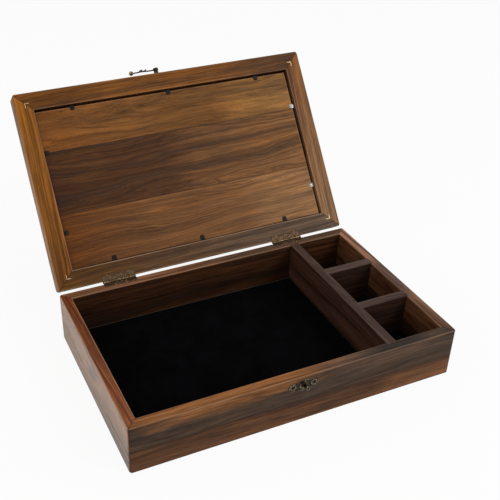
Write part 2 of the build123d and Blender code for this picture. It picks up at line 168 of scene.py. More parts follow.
# %% Node trees
class Graph:
    """A node tree under construction, of a material or of geometry."""

    def __init__(self, tree):
        self.tree = tree

    @staticmethod
    def find(sockets, key):
        """A socket by its identifier, its name or its place in the list."""
        if isinstance(key, int):
            return sockets[key]
        by_identifier = [socket for socket in sockets if socket.identifier == key]
        return by_identifier[0] if by_identifier else sockets[key]

    def node(self, kind, settings=None, inputs=None, output=None):
        """Adds a node: its settings first, then the values or links of its sockets."""
        made = self.tree.nodes.new(kind)
        for name, setting in (settings or {}).items():
            if name == "stops":
                self.set_stops(made.color_ramp, setting)
            else:
                setattr(made, name, setting)
        for key, given in (inputs or {}).items():
            socket = self.find(made.inputs, key)
            for one in given if isinstance(given, list) else [given]:
                if isinstance(one, Value):
                    self.tree.links.new(one.socket, socket)
                elif one is not None:
                    socket.default_value = one
        shown = [socket for socket in made.outputs if socket.enabled]
        if output is not None:
            return Value(self, made, self.find(made.outputs, output))
        return Value(self, made, shown[0]) if shown else made

    @staticmethod
    def set_stops(ramp, stops):
        """Stops of a colour ramp as (place, colour) pairs, two or more."""
        while len(ramp.elements) < len(stops):
            ramp.elements.new(1.0)
        for element, (place, colour) in zip(ramp.elements, stops):
            element.position = place
            element.color = colour

    def blend(self, share, first, second):
        """Mixes two colours by a number or a mask."""
        settings = {"data_type": "RGBA", "clamp_factor": True}
        inputs = {"Factor_Float": share, "A_Color": first, "B_Color": second}
        return self.node("ShaderNodeMix", settings, inputs, "Result_Color")

    def scaled(self, vector, by):
        """A vector whose three parts are each multiplied."""
        settings = {"operation": "MULTIPLY"}
        return self.node("ShaderNodeVectorMath", settings, {0: vector, 1: by})

    def joined(self, x, y, z):
        return self.node("ShaderNodeCombineXYZ", None, {"X": x, "Y": y, "Z": z})

    def parts(self, vector):
        """The three parts of a vector."""
        x = self.node("ShaderNodeSeparateXYZ", None, {0: vector}, "X")
        return x, x.out("Y"), x.out("Z")

    def seen(self):
        """1 for the rays of the camera, of mirrors and of glass, 0 for those that light things."""
        rays = self.node("ShaderNodeLightPath")
        straight = rays.out("Is Camera Ray").most(rays.out("Is Glossy Ray"))
        return straight.most(rays.out("Is Transmission Ray"))

    def surface(self, strength, distance, height, inputs):
        """Ends a material with a Principled shader that has a fine relief."""
        relief = {"Strength": strength, "Distance": distance, "Height": height}
        bump = self.node("ShaderNodeBump", None, relief)
        shader = self.node("ShaderNodeBsdfPrincipled", None, {**inputs, "Normal": bump})
        self.node("ShaderNodeOutputMaterial", None, {"Surface": shader})


print("a graph adds every other node")


# %% Colours and finishes
def tone(red, green, blue):
    """A colour on the usual 0 to 255 scale, made linear as the shaders want it."""
    parts = [part / 255 for part in (red, green, blue)]
    linear = [x / 12.92 if x <= 0.04045 else ((x + 0.055) / 1.055) ** 2.4 for x in parts]
    return (*linear, 1.0)


def new_finish(name):
    """A material with an empty tree, and its graph."""
    material = bpy.data.materials.new(name)
    material.use_nodes = True
    material.node_tree.nodes.clear()
    return material, Graph(material.node_tree)


def dress(names, material):
    """Gives one finish to frame nodes, by name."""
    for name in names:
        mesh = frame["nodes"][name].data
        mesh.materials.clear()
        mesh.materials.append(material)
    print("dressed", ", ".join(names), "in", material.name)


print("mid grey is", round(tone(128, 128, 128)[0], 3))


# %% [markdown]
# ## Studio: floor, world and lamps
# The photograph is cut out on white, with soft light from all sides and a brighter window high on
# the right. The floor and the sky answer camera and mirror rays with plain white, and light the
# object itself at a normal level. Only a part of the floor is emission, so the chest keeps a shadow.

# %% Floor
FLOOR_SIZE = 12.0
FLOOR_GLOW = 0.92

sheet = bmesh.new()
bmesh.ops.create_grid(sheet, x_segments=1, y_segments=1, size=FLOOR_SIZE / 2)
floor = unit("floor", sheet)

floor_finish, floor_graph = new_finish("floor_white")
matt = floor_graph.node("ShaderNodeBsdfDiffuse", None, {"Color": (0.9, 0.9, 0.9, 1)})
glow = floor_graph.node("ShaderNodeEmission", None, {"Color": (1, 1, 1, 1), "Strength": 1.0})
share = floor_graph.seen() * FLOOR_GLOW
mixed = floor_graph.node("ShaderNodeMixShader", None, {0: share, 1: matt, 2: glow})
floor_graph.node("ShaderNodeOutputMaterial", None, {"Surface": mixed})
floor.data.materials.append(floor_finish)
print("floor glows by", FLOOR_GLOW)

# %% World
SKY_LIGHT = 0.5

world = bpy.data.worlds.new("studio")
bpy.context.scene.world = world
world.use_nodes = True
world.node_tree.nodes.clear()
sky = Graph(world.node_tree)
strength = sky.seen() * (1.0 - SKY_LIGHT) + SKY_LIGHT
backdrop = sky.node("ShaderNodeBackground", None, {"Color": (1, 1, 1, 1), "Strength": strength})
sky.node("ShaderNodeOutputWorld", None, {"Surface": backdrop})
bpy.context.scene.view_settings.view_transform = "Standard"
print("sky lights at", SKY_LIGHT)


# %% Lamps
def softbox(name, place, size, power, aim=(0.0, 0.0, 0.05)):
    """A square area lamp of that size in metres, turned to the chest."""
    lamp = bpy.data.objects.new(name, bpy.data.lights.new(name, "AREA"))
    lamp.data.shape = "SQUARE"
    lamp.data.size = size
    lamp.data.energy = power
    lamp.location = place
    lamp.rotation_euler = (Vector(aim) - Vector(place)).to_track_quat("-Z", "Y").to_euler()
    bpy.context.scene.collection.objects.link(lamp)
    return lamp


softbox("window_right", (1.1, -1.1, 1.4), 1.1, 17.0)
softbox("fill_left", (-1.5, -0.5, 1.2), 1.4, 8.0)
print("two softboxes")

# %% [markdown]
# ## Wood
# Every board is cut from a log, and its figure is where the board slices the log's growth rings. So
# the finish starts from a pith line somewhere beside the board, measures how far each point is from
# it, warps that distance with slow noise, and reads the rings from noise along it: broad bands, fine
# lines, and a few dark streaks. Fibres and pores are noise pulled out long along the grain. The
# pattern lives in object space, so it runs right through a board and shows end grain at its ends.

# %% Wood: noise, patches and edges
BAND, FINE = 0.10, 0.42  # broad bands and fine lines of the rings, per millimetre
WOOD_ROUGH = 0.52
WOOD_IOR = 1.2  # low, because the room in front of the chest is dark in its gloss
GLUE_LINE = 0.35  # half width of a glue line
MITRE_SLANT = 0.7071  # from a step along both sides to the distance from a mitre
GLUE_AND_GAP_SHADE = tone(22, 14, 10)  # a glue line, and the painted shade of the gap between the panel and the back rail
DARK_WOOD = (0.38, 0.33, 0.30)  # late rings, as a share of a board's own colour
LIGHT_WOOD = (1.65, 1.68, 1.66)  # early rings
DUSK, GOLD = (0.72, 0.76, 0.86), (1.30, 1.20, 0.98)  # a board's dull and its warm stretches
EDGE_HIGHLIGHT_AND_WEAR = tone(186, 150, 118)  # painted highlight of the lacquered, sanded edges, with a little wear
RAIL_W, LID_T, PANEL_DEEP = 18.5, 16.4, 3.0  # rails, and how far the panel is set back


def level_space(graph, on_lid=False):
    """Object space in millimetres; for the lid, turned back to the level lid."""
    place = graph.node("ShaderNodeTexCoord", None, None, "Object")
    if on_lid:
        back = LID_OPEN.inverted()
        inputs = {"Vector": place, "Location": back.to_translation(), "Rotation": back.to_euler()}
        place = graph.node("ShaderNodeMapping", None, inputs)
    return graph.scaled(place, (1 / MM,) * 3)


def noise(graph, vector, scale=1.0, detail=2.0, rough=0.5, distortion=0.0):
    inputs = {"Vector": vector, "Scale": scale, "Detail": detail}
    inputs.update({"Roughness": rough, "Distortion": distortion})
    return graph.node("ShaderNodeTexNoise", None, inputs, "Fac")


def line_noise(graph, along, scale, detail=2.0, rough=0.5):
    """Noise of one number, for layers."""
    inputs = {"W": along, "Scale": scale, "Detail": detail, "Roughness": rough}
    return graph.node("ShaderNodeTexNoise", {"noise_dimensions": "1D"}, inputs, "Fac")


def patch(place, centre, half, ragged):
    """Mask of a soft patch: 1 well inside a box round centre, 0 outside, its edge torn by noise."""
    shares = [abs(part - mid) / reach for part, mid, reach in zip(place, centre, half) if reach]
    return (reduce(Value.most, shares) + (ragged - 0.5) * 0.9).rise(1.3, 0.45)


def tint(graph, share, low, high):
    """Turns a number into a colour to multiply by: low at 0, none at a half, high at 1."""
    stops = [(at, (*(x / 2 for x in shares), 1.0)) for at, shares in
             ((0.0, low), (0.5, (1.0, 1.0, 1.0)), (1.0, high))]
    ramp = graph.node("ShaderNodeValToRGB", {"stops": stops}, {"Fac": share}, "Color")
    return graph.scaled(ramp, (2.0, 2.0, 2.0))


def box_edge(x, y, z):
    """How far a point of the box's walls is from a sanded edge."""
    outer = (BASE_W / 2 - abs(x)).least(BASE_D / 2 - abs(y))
    return outer.least(abs(outer - WALL)).most((RIM - z).least(z))


def lid_edge(x, y, z):
    """The same for the rails of the level lid, whose underside is the face that shows."""
    outer = (LID_W / 2 - abs(x)).least(BASE_D / 2 - abs(y))
    return outer.least(abs(outer - RAIL_W)).most((z - LID_Z).least(LID_Z + LID_T - z))


def panel_edge(x, y, z):
    """The same for the panel, at the right and in front, where a gap shows its edge."""
    return (PANEL_RIGHT - x).least(y - PANEL_FRONT).most(z - LID_Z - PANEL_DEEP)


print("glue lines", 2 * GLUE_LINE, "mm wide")


# %% Wood: one board
def wood(
    name,
    start,
    end,
    along="x",  # the way its grain runs
    on_lid=False,
    pith=(-60.0, 35.0),  # across and depth of the log's middle
    tilt=0.03,  # how the log's middle drifts along the board
    warp=6.0,  # how far slow noise bends the rings
    contrast=1.0,
    streak=(0.57, 0.66, 0.75),  # where the dark streaks start, end, and how strong they are
    streak_tone=(34, 24, 19),
    veins=0.3,  # strength of thin dark lines that follow the rings
    reach=(-150.0, 150.0),  # the board's low and high end
    patches=(),  # centre, half size with 0 for any, colour and strength of each
    seams=(),  # axis and place of each dark line: glue lines, and painted gap shade on the back rail
    corners=None,  # half width and half depth of the frame that the board is mitred into
    edge=None,  # function of a point: how far it is from a sanded edge
    # worn: strength of the painted edge highlight, with a little wear
    worn=0.22,
    coat=0.0,  # clear coat on the box's end
    seed=0,
):
    """One board's finish, from its colours at the low and the high end; sizes in millimetres."""
    material, g = new_finish(name)
    x, y, z = g.parts(level_space(g, on_lid))
    run, across = (x, y) if along == "x" else (y, x)
    draw = random.Random(seed)
    offset = [draw.uniform(-400, 400) for _ in range(4)]

    # rings: the distance to the pith, bent by slow noise
    slow = g.joined(run * 0.005 + offset[0], across * 0.018 + offset[1], z * 0.018 + offset[2])
    quick = g.joined(run * 0.016 + offset[1], across * 0.07 + offset[2], z * 0.07)
    bend = (noise(g, slow, 1.0, 1.0) - 0.5) * warp * 2.4
    bend = bend + (noise(g, quick, 1.0, 2.0) - 0.5) * warp * 0.5
    side, depth = across - pith[0] + run * tilt, z - pith[1]
    rings = (side * side + depth * depth) ** 0.5 + bend

    def grain(length, width, shift, detail=2.0):
        """Noise drawn out along the rings; length and width in millimetres."""
        space = g.joined(run / length + shift, rings / width, (across - z) * 0.4 / width)
        return noise(g, space, 1.0, detail, 0.6)

    # layers: what darkens or lightens the board's own colour
    bands = line_noise(g, rings + offset[0], BAND, 3.0, 0.55)
    lines = line_noise(g, rings + offset[1], FINE, 2.0, 0.6)
    fibre = grain(30.0, 1.0, offset[2], 3.0)
    bold = grain(70.0, 2.6, offset[3])
    pores = grain(11.0, 0.42, offset[0], 1.0).rise(0.60, 0.68)
    hairs = grain(60.0, 1.4, offset[1], 2.0).rise(0.55, 0.61)
    shade = (bands - 0.5) * 1.1 + (lines - 0.5) * 0.75 + (bold - 0.5) * 1.3 + (fibre - 0.5) * 1.3
    figure = tint(g, shade * contrast + 0.5, DARK_WOOD, LIGHT_WOOD)
    cloud = noise(g, quick, 0.8, 2.0, 0.55)

    # colour: the board's own, its streaks, its patches, then the marks in all of them
    own = g.blend((run - reach[0]) / (reach[1] - reach[0]), start, end)
    colour = g.scaled(own, figure)
    colour = g.scaled(colour, tint(g, (cloud - 0.5) * 1.7 + 0.5, DUSK, GOLD))
    low, high, power = streak
    streaks = line_noise(g, rings + offset[2], BAND * 0.8, 2.5, 0.6).rise(low, high)
    colour = g.blend(streaks * (bold + 0.25) * power, colour, tone(*streak_tone))
    for centre, half, paint, strength in patches:
        mask = patch((x, y, z), centre, half, noise(g, quick, 2.2, 3.0, 0.6))
        painted = g.scaled(figure, tone(*paint)[:3])
        colour = g.blend(mask * strength * (1.0 - streaks * 0.7), colour, painted)
    thin = abs(line_noise(g, rings + offset[3], 0.2, 1.0) - 0.5).rise(0.07, 0.0) * (bold + 0.3)
    marks = (hairs * 0.5).most(pores * 0.45).most(thin * veins)
    colour = g.blend(marks, colour, g.scaled(colour, (0.36, 0.32, 0.30)))

    # joints and painted gap shade, then a painted highlight with a little wear on sanded edges
    gaps = [abs({"x": x, "y": y, "z": z}[part] - where) for part, where in seams]
    if corners:
        gaps.append(abs((corners[0] - abs(x)) - (corners[1] - abs(y))) * MITRE_SLANT)
    if gaps:
        glue = reduce(Value.least, gaps)
        colour = g.blend(glue.rise(GLUE_LINE * 2, 0.0) * 0.7, colour, GLUE_AND_GAP_SHADE)
    if edge:
        rubbed = edge(x, y, z).rise(1.5, 0.45) * (0.35 + bold + (fibre - 0.5))
        colour = g.blend(rubbed * worn, colour, EDGE_HIGHLIGHT_AND_WEAR)

    rough = WOOD_ROUGH + (fibre - 0.5) * 0.25 + pores * 0.2 - streaks * 0.04
    inputs = {"Base Color": colour, "Roughness": rough, "Coat Roughness": 0.3, "IOR": WOOD_IOR}
    if coat:
        inputs["Coat Weight"] = (BASE_W / 2 - abs(x)).rise(0.8, 0.3) * coat
    g.surface(0.3, 0.0002, fibre * 0.6 + bold * 0.5 - pores * 1.2, inputs)
    return material


def dress_boards(boards, **shared):
    """Gives each board a wood of its own; `ends` are its colours at the low and the high end."""
    for name, say in boards.items():
        start, end = (tone(*rgb) for rgb in say.pop("ends"))
        dress([name], wood(f"wood_{name}", start, end, **shared, **say))


print("wood is ready")

# %% [markdown]
# ## The box's walls
# Each wall is two strips glued edge to edge, so the seam runs round the box at half height and the
# figure changes there. The left wall shows a pale, greyish sheen of lacquer, partly from its clear
# coat and partly painted into the colour of its outer face. The front's upper strip is nearly
# charcoal with one warm patch, and its lower strip is reddish.

# %% Walls of the box
CORNERS = (BASE_W / 2, BASE_D / 2)
MITRED = dict(seams=[("z", SEAM_Z)], corners=CORNERS, edge=box_edge)
SIDE = (-BASE_D / 2, BASE_D / 2)
TOP = ((0, 0, RIM), (0, 0, 0.8))  # the rim's flat top
# the left outer face: its paler, greyer colour is painted sheen, on top of the clear coat's own
PAINTED_SHEEN_LEFT = ((-BASE_W / 2, 0, 0), (0.6, 0, 0))
WALLS = {
    "front_wall_upper": dict(
        ends=((66, 49, 37), (64, 49, 38)), seed=3, pith=(-180, 70), tilt=0,
        streak_tone=(34, 31, 34),
        patches=[
            ((-80, 0, RIM), (118, 0, 0.8), (132, 85, 48), 1),
            ((-62, 0, 50.5), (85, 0, 10), (136, 88, 50), 0.92),
            ((80, 0, 48), (70, 0, 7), (96, 71, 56), 0.6),
            ((104, -97, 53), (38, 9, 2.4), (40, 32, 28), 0.95),
        ],
    ),
    "front_wall_lower": dict(
        ends=((90, 58, 36), (114, 74, 44)), seed=5, pith=(-150, -30),
        patches=[((50, 0, 0), (45, 0, 0), (72, 46, 28), 0.7)],
    ),
    # the left wall: painted sheen on its outer face, and a stronger painted edge highlight
    "left_wall_upper": dict(
        ends=((138, 80, 49), (112, 58, 28)), seed=7, along="y", reach=SIDE, coat=0.5, worn=0.5,
        patches=[(*PAINTED_SHEEN_LEFT, (146, 105, 74), 1)],
    ),
    "left_wall_lower": dict(
        ends=((92, 60, 42), (110, 74, 54)), seed=11, along="y", reach=SIDE, coat=0.35,
        patches=[(*PAINTED_SHEEN_LEFT, (134, 101, 72), 1)],
    ),
    # painted shade: the back wall's strips are dark all through, as its face inside the cells looks,
    # and its rim top is painted paler
    "back_wall_upper": dict(
        ends=((54, 31, 17), (62, 37, 21)), seed=13, pith=(150, 80),
        patches=[
            (*TOP, (126, 84, 58), 1),
            ((90, 0, RIM), (105, 0, 0.8), (86, 64, 48), 0.95),
        ],
    ),
    "back_wall_lower": dict(ends=((50, 29, 16), (54, 32, 17)), seed=17, pith=(160, -30)),
    "right_wall_upper": dict(
        ends=((92, 66, 50), (164, 118, 92)), seed=19, along="y", reach=SIDE,
        patches=[
            ((0, 0, RIM), (0, 34, 0.8), (84, 64, 55), 0.8),
            ((BASE_W / 2 - WALL, 0, 0), (0.5, 0, 0), (100, 63, 40), 1),
        ],
    ),
    "right_wall_lower": dict(ends=((74, 48, 34), (80, 54, 38)), seed=23, along="y", reach=SIDE),
}
dress_boards(WALLS, **MITRED)

# %% [markdown]
# ## Dividers and bottom
# The dividers are thinner boards from the same stock, with their grain along their length. Their
# sides are darkened as painted shade of the cells, the cross dividers' most, and their sanded tops
# carry a paler colour.

# %% Dividers and bottom board
# painted shade: the cross dividers' sides, down in the cells, get this darker colour
SHADED = ((50, 34, 27), (48, 32, 24))
DIVIDERS = {
    "long_divider": dict(
        ends=((70, 46, 37), (66, 43, 31)), along="y", seed=29, pith=(130, 110),
    ),
    "cross_divider_1": dict(ends=SHADED, seed=31, pith=(20, 120)),
    "cross_divider_2": dict(ends=SHADED, seed=32, pith=(20, 120)),
}
dress_boards(DIVIDERS, patches=[(*TOP, (80, 61, 53), 1)])
BOTTOM = dict(ends=((104, 77, 55), (112, 84, 60)), seed=37, pith=(30, -70))
dress_boards({"bottom_board": BOTTOM})

# %% [markdown]
# ## The lid
# Four mitred rails hold a loose panel of three wide staves. The panel is where the eye goes: warm,
# flowing flat-sawn figure in the front stave, a darker middle stave, and a lighter one at the hinges.

# %% Rails of the lid
LID_CORNERS = dict(on_lid=True, corners=(LID_W / 2, BASE_D / 2), edge=lid_edge)
# the lid's left end face: its paler, greyer colour is painted sheen
PAINTED_SHEEN_LID_LEFT = ((-LID_W / 2, 0, 0), (0.6, 0, 0))
PANEL_BACK = BASE_D / 2 - RAIL_W  # painted shade: a dark line where the panel meets the back rail
RAILS = {
    "lid_front_rail": dict(
        ends=((106, 62, 19), (92, 59, 30)), seed=41, streak=(0.60, 0.70, 0.4),
        patches=[((0, -93, 0), (92, 14, 0), (136, 83, 30), 0.8)],
    ),
    # the back rail: painted shade in a dark line along its inner edge by the panel, and a stronger
    # painted edge highlight
    "lid_back_rail": dict(
        ends=((90, 56, 18), (96, 78, 64)), seed=43, seams=[("y", PANEL_BACK)], worn=0.5,
    ),
    "lid_left_rail": dict(
        ends=((152, 94, 28), (110, 66, 22)), seed=47, along="y", reach=SIDE,
        patches=[(*PAINTED_SHEEN_LID_LEFT, (150, 109, 73), 1)],
    ),
    "lid_right_rail": dict(ends=((126, 80, 40), (146, 109, 77)), seed=53, along="y", reach=SIDE),
}
dress_boards(RAILS, **LID_CORNERS)

# %% Panel of the lid
STAVE_SEAMS = [("y", 27.5), ("y", -38.5)]
# painted shade of the gap, laid on each stave along the back rail
GAP_SHADE = ((0, PANEL_BACK, 0), (0, 1.1, 0), (30, 18, 11), 1)
STAVES = {
    "lid_panel_stave_3": dict(
        ends=((110, 65, 24), (140, 97, 50)), seed=59, pith=(-70, 30), contrast=0.65, warp=10,
        streak=(0.60, 0.72, 0.35),
        patches=[((20, 0, 0), (50, 0, 0), (102, 64, 27), 0.75)],
    ),
    "lid_panel_stave_2": dict(
        ends=((76, 42, 16), (132, 90, 52)), seed=61, pith=(40, 10), contrast=0.7, warp=15,
        veins=0.8, streak=(0.54, 0.60, 0.5),
        patches=[((-50, 0, 0), (55, 0, 0), (66, 37, 16), 0.75)],
    ),
    "lid_panel_stave_1": dict(
        ends=((100, 54, 11), (154, 112, 74)), seed=67, pith=(110, 20), contrast=0.7, warp=13,
        veins=0.5, streak=(0.60, 0.70, 0.4),
        patches=[((20, 0, 0), (55, 0, 0), (116, 74, 38), 0.6)],
    ),
}
for stave in STAVES.values():
    stave["patches"].append(GAP_SHADE)
dress_boards(STAVES, on_lid=True, seams=STAVE_SEAMS, edge=panel_edge)

# %% [markdown]
# ## Velvet
# The compartments are lined with short black pile on a thin pad. Velvet drinks light: almost no
# gloss, and a faint sheen only where it turns away from the eye.


# %% Velvet finish
def velvet():
    material, g = new_finish("velvet_black")
    place = level_space(g)
    nap = noise(g, place, 0.05, 3.0, 0.6)
    pile = noise(g, place, 2.4, 2.0, 0.7)
    colour = g.blend(nap.rise(0.35, 0.7), tone(2, 2, 3), tone(6, 6, 8))
    y = g.parts(place)[1]
    edge_sheen = (BASE_D / 2 - WALL - LINING_PLAY - y).rise(2.0, 1.0)  # painted sheen on the pads' back edge
    colour = g.blend(edge_sheen * 0.8, colour, tone(92, 84, 76))
    inputs = {"Base Color": colour, "Roughness": 0.95, "Specular IOR Level": 0.02}
    inputs.update({"Sheen Weight": 0.02, "Sheen Roughness": 0.4})
    g.surface(0.5, 0.0003, pile, inputs)
    return material


VELVET = velvet()
print("linings get", VELVET.name)


# %% [markdown]
# ## Bronze, black steel and bright steel
# The little fittings are plated to look old: dark brown in the hollows, rubbed through to brass on
# what stands proud. The tabs that hold the panel are blackened steel, and the nails across the
# lid's mitres are bare.


# %% Metal finishes
def metal(name, dark, bright, share, roughness=0.38, grain=0.9, metallic=1.0):
    """Plated metal, dark with rubbed spots; share is how much of it is rubbed bright.

    A mesh may carry a number, raised, that says how far each point stands proud: the finish rubs
    through there first.
    """
    material, g = new_finish(name)
    place = level_space(g)
    spots = noise(g, place, grain, 3.0, 0.6)
    fine = noise(g, place, grain * 5, 2.0, 0.6)
    proud = g.node("ShaderNodeAttribute", {"attribute_name": "raised"}, None, "Fac")
    worn = spots * 0.7 + fine * 0.3 + proud * 0.3
    rubbed = worn.rise(0.62 - share * 0.3, 0.78 - share * 0.3)
    colour = g.blend(rubbed, dark, bright)
    rough = roughness + (fine - 0.5) * 0.3 - rubbed * 0.08
    g.surface(0.3, 0.0001, fine, {"Base Color": colour, "Metallic": metallic, "Roughness": rough})
    return material


BRONZE = metal("bronze_antique", tone(44, 37, 30), tone(176, 154, 120), 0.1, 0.3)
BRASS = metal("bronze_rubbed", tone(70, 53, 38), tone(168, 136, 88), 0.1, 0.42, 0.9, 0.85)
BLACK_STEEL = metal("steel_black", tone(26, 25, 24), tone(64, 62, 60), 0.1, 0.45)
GREY_STEEL = metal("steel_grey", tone(92, 92, 92), tone(170, 170, 168), 0.5, 0.4)
BRIGHT_STEEL = metal("steel_bright", tone(156, 130, 92), tone(232, 208, 160), 0.5, 0.4, 0.9, 0.5)
dress([name for name in frame["nodes"] if name.startswith("hinge_pin")], BRONZE)

# %% [markdown]
# ## From a drawing to its place
# The pieces below are drawn in millimetres: on the base as it stands, on the lid as if it lay level
# over the box, and for the hook as it hangs from its pivot, with Y up and Z out from the wood.
# `mount` takes a finished piece from there to where its body rests, hangs it under its body's
# empty, hides the plain solids it stands for, and gives it its slot's finish if it has none.

# %% Mounting a piece
pivot, outward = (Vector(joints["hook_swing"][key]) for key in ("pos_m", "axis"))
hook_axes = Matrix((Vector((1, 0, 0)), outward.cross(Vector((1, 0, 0))), outward)).transposed()
PLACES = {"base": Matrix.Scale(MM, 4), "lid": LID_OPEN @ Matrix.Scale(MM, 4)}
PLACES["hook"] = (
    Matrix.Translation(pivot) @ hook_axes.to_4x4() @ Matrix.Rotation(-math.pi / 2, 4, "Z")
    @ Matrix.Scale(MM, 4)
)
FINISHES = {"black_velvet": VELVET, "antique_bronze": BRONZE}
print("the hook turns about", [round(x, 3) for x in outward])


def mount(piece, body, slot, *nodes):
    """Takes a piece to where its body rests; one without a finish gets its slot's."""
    piece.data.transform(PLACES[body])
    if len(piece.data.materials) == 0:
        piece.data.materials.append(FINISHES[slot])
    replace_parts(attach(piece, body), *nodes)
    count = sum(len(face.vertices) - 2 for face in piece.data.polygons)
    print(f"{piece.name}: {count} triangles on {body}")
    return piece


def placed(piece, place):
    """Moves the mesh itself; a mirroring place turns its faces back outwards."""
    piece.data.transform(place)
    if place.determinant() < 0:
        piece.data.flip_normals()
    return piece


def mark_raised(mesh, share):
    """Stores how far each point stands proud, 0 to 1, by a function of its place."""
    raised = mesh.attributes.new("raised", "FLOAT", "POINT")
    raised.data.foreach_set("value", [share(vertex.co) for vertex in mesh.vertices])


def frozen(piece):
    """Makes what a piece's modifiers show its own mesh, and takes them off."""
    bpy.context.view_layer.update()
    shown = piece.evaluated_get(bpy.context.evaluated_depsgraph_get())
    mesh = bpy.data.meshes.new_from_object(shown)
    piece.modifiers.clear()
    piece.data = mesh
    return mesh


def smooth(mesh, angle=35.0):
    """Smooth shading with edges sharper than the angle kept."""
    mesh.shade_smooth()
    mesh.set_sharp_from_angle(angle=math.radians(angle))


# %% [markdown]
# ## Velvet pads
# Each compartment has a card wrapped in velvet over thin foam. Seen close, the cloth rolls over the
# card's edge, and the pad is a touch fuller in its middle. The height of the sheet is a formula of
# how far a point lies from the nearest edge: a quarter circle, then a slow rise, and a little waviness.

# %% Velvet pads
ROLL = 1.4  # radius of the rolled edge
CROWN, WAVE = 0.45, 0.10  # how much fuller the middle is, and how high the cloth waves
SPACING = 12  # of the grid in the middle
STEPS = [0.0, 0.15, 0.4, 0.8, 1.4, 2.6, 5.0, 9.0, 15.0]  # from an edge, closer where it turns


def ticks(low, high):
    """Places from low to high, close together near both ends."""
    middle = (high - low) / 2
    near = [step for step in STEPS if step < middle]
    count = max(2, round((high - low - 2 * near[-1]) / SPACING))
    between = [near[-1] + (high - low - 2 * near[-1]) * i / count for i in range(1, count)]
    return [low + x for x in near + between] + [high - x for x in reversed(near)]


def rolled(inward, radius):
    """0 on an edge, 1 from that radius inwards, and a quarter circle between."""
    return math.sqrt(max(0.0, 1 - (1 - min(inward / radius, 1.0)) ** 2))


def pad(name):
    """A velvet pad with the outline and height of its plain solid."""
    low, high = (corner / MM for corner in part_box(name))
    xs, ys = ticks(low.x, high.x), ticks(low.y, high.y)
    rise = high.z - low.z - CROWN

    def height(x, y):
        inward = min(x - low.x, high.x - x, y - low.y, high.y - y)
        crown = CROWN * (1 - math.exp(-inward / 14.0))
        wave = WAVE * math.sin(x / 17.0 + y / 41.0) * math.sin(y / 23.0 - x / 57.0) - WAVE
        edge = low.z + (rise - ROLL) + ROLL * rolled(inward, ROLL)
        return edge + crown + wave * min(inward / 20.0, 1.0)

    build = bmesh.new()
    top = [[build.verts.new((x, y, height(x, y))) for x in xs] for y in ys]
    for row, above in zip(top, top[1:]):
        for i in range(len(xs) - 1):
            build.faces.new((row[i], row[i + 1], above[i + 1], above[i]))
    rim = [*top[0], *[row[-1] for row in top[1:-1]], *reversed(top[-1])]
    rim += [row[0] for row in reversed(top[1:-1])]
    foot = [build.verts.new((vertex.co.x, vertex.co.y, low.z)) for vertex in rim]
    for i, vertex in enumerate(rim):
        after = (i + 1) % len(rim)
        build.faces.new((foot[i], foot[after], rim[after], vertex))
    build.faces.new(list(reversed(foot)))
    piece = unit(f"velvet_{name}", build)
    smooth(piece.data, 60.0)
    return mount(piece, "base", "black_velvet", name)


for lining in [name for name in sorted(frame["nodes"]) if "lining" in name]:
    pad(lining)

# %% [markdown]
# ## Turned pieces
# The catch's knob and the rivet that carries the hook are lathe work: a profile turned about an
# axis. `lathe` takes the profile as (radius, height) pairs from the foot to the top. `facing` stands a
# piece drawn along Z on the front of the chest, so that its Z points to the user.


# %% Lathe and profiles
def lathe(profile, steps=40, hollow=False):
    """A closed turned mesh along Z; the profile starts and ends on the axis, unless it is a ring's."""
    build = bmesh.new()
    ring = [build.verts.new((radius, 0.0, height)) for radius, height in profile]
    ends = zip(ring, ring[1:] + ring[:1]) if hollow else zip(ring, ring[1:])
    edges = [build.edges.new(pair) for pair in ends]
    spin = dict(cent=(0, 0, 0), axis=(0, 0, 1), angle=2 * math.pi, steps=steps)
    bmesh.ops.spin(build, geom=ring + edges, use_merge=True, **spin)
    bmesh.ops.remove_doubles(build, verts=build.verts, dist=1e-4)
    bmesh.ops.recalc_face_normals(build, faces=build.faces)
    mesh = bpy.data.meshes.new("turned")
    build.to_mesh(mesh)
    build.free()
    smooth(mesh, 50.0)
    return mesh


def facing(x, z, out=0.0):
    place = Matrix.Translation((x, -BASE_D / 2 - out, z))
    return place @ Matrix.Rotation(math.pi / 2, 4, "X")


def rounded(radius, low, high, edge=0.25):
    """Part of a profile: a disc of that radius between two heights, its edges rounded."""
    turns = [math.radians(angle) for angle in (-90, -60, -30, 0)]
    foot = [(radius - edge + edge * math.cos(a), low + edge + edge * math.sin(a)) for a in turns]
    return foot + [(r, low + high - h) for r, h in reversed(foot)]


def quarter(steps):
    """Angles from 0 to a right angle."""
    return [math.pi / 2 * i / steps for i in range(steps + 1)]


def mushroom(radius, low, high):
    """Part of a profile: a domed head, from its underside to the axis."""
    lip = 0.28 * (high - low)
    rise = high - low - lip
    dome = [(radius * math.cos(a), low + lip + rise * math.sin(a)) for a in quarter(8)]
    return [(radius * 0.86, low), (radius * 0.97, low + lip * 0.35), *dome[:-1], (0.0, high)]


print("a dome takes", len(mushroom(1.0, 0.0, 1.0)), "points")

# %% Knob and rivet
STUD_NECK, STUD_HEAD, STUD_DOME = 1.4, 2.9, 1.4  # two radii, and the head's height
RIVET_NECK, RIVET_SHOULDER, RIVET_HEAD, RIVET_DOME = 1.1, 2.4, 2.9, 1.5
HOOK_OUT, HOOK_T = 4.5, 1.4  # from the wood to the back of the hook, and the hook's thickness
HOOK_PLAY = 0.12  # in front of the hook and behind it
stud_low, stud_high = (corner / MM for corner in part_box("catch_stud"))
STUD_Z = (stud_low.z + stud_high.z) / 2
STUD_TOP = -BASE_D / 2 - stud_low.y

